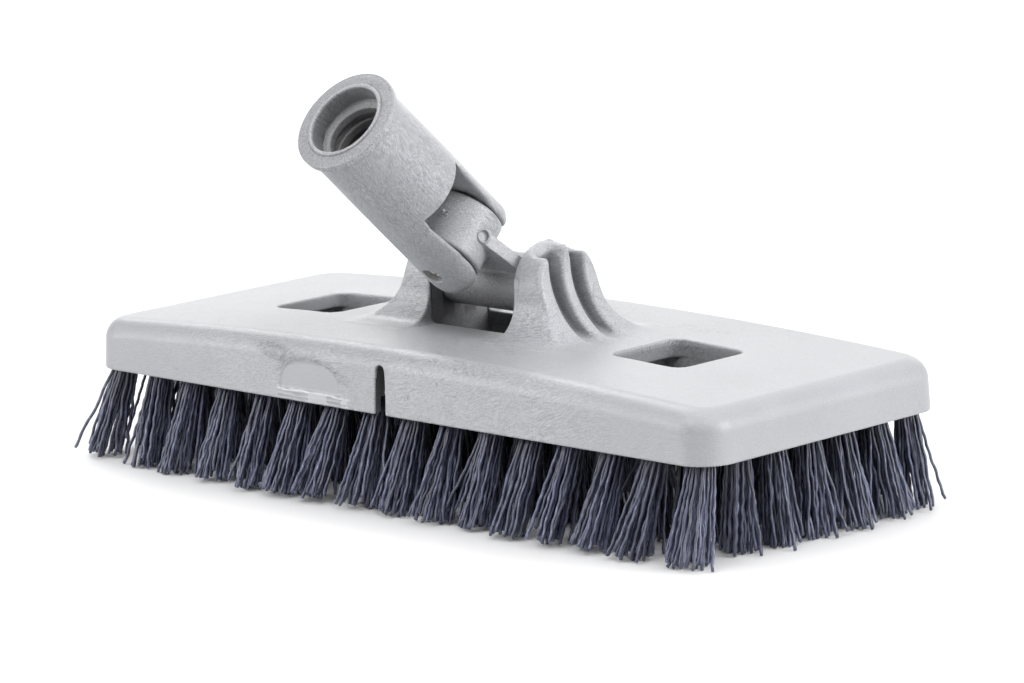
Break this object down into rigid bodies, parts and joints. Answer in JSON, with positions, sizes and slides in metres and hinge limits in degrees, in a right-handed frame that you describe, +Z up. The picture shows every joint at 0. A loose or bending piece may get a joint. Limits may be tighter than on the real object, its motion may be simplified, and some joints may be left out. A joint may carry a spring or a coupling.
{
  "type": "swivel scrub brush head",
  "caption": "Floor scrub brush head: a moulded grey block with windows and dark crimped bristle tufts, and a two-axis swivel joint with a threaded handle socket.",
  "frame": {"origin": "on the floor under the middle of the whole brush, at the bristle tips", "axes": "+X along the block's long side, +Y towards the back of the block (the side the socket leans away from), +Z up from the bristle tips"},
  "size_m": [0.2602, 0.1269, 0.1264],
  "materials": {
    "block_plastic": "satin, moulded, with fine flow marks",
    "swivel_plastic": "satin, moulded",
    "pin_steel": "drawn",
    "spring_steel": "rolled, slightly dulled",
    "bristle": "crimped filament, slightly glossy",
    "anchor_wire": "flat drawn wire"
  },
  "bodies": {
    "block": {"brush_block": "block_plastic", "axle_pin": "pin_steel", "tufts_front_row": "bristle", "tufts_second_front": "bristle", "tufts_inner_front": "bristle", "tufts_centre_row": "bristle", "tufts_inner_back": "bristle", "tufts_second_back": "bristle", "tufts_back_row": "bristle", "tufts_left_end": "bristle", "tufts_right_end": "bristle", "anchors_front_row": "anchor_wire", "anchors_second_front": "anchor_wire", "anchors_inner_front": "anchor_wire", "anchors_centre_row": "anchor_wire", "anchors_inner_back": "anchor_wire", "anchors_second_back": "anchor_wire", "anchors_back_row": "anchor_wire", "anchors_left_end": "anchor_wire", "anchors_right_end": "anchor_wire"},
    "cross": {"swivel_cross": "swivel_plastic"},
    "socket": {"handle_socket": "swivel_plastic", "spring_pin": "spring_steel"}
  },
  "joints": [
    {"name": "lower_tilt", "type": "hinge", "parent": "block", "child": "cross", "pos_m": [0, 0.0082, 0.06], "axis": [1, 0, 0], "range_deg": [-122.9, 27.1]},
    {"name": "upper_swing", "type": "hinge", "parent": "cross", "child": "socket", "pos_m": [0, -0.00983, 0.07629], "axis": [0, 0.6704, 0.742], "range_deg": [-60, 60]}
  ]
}
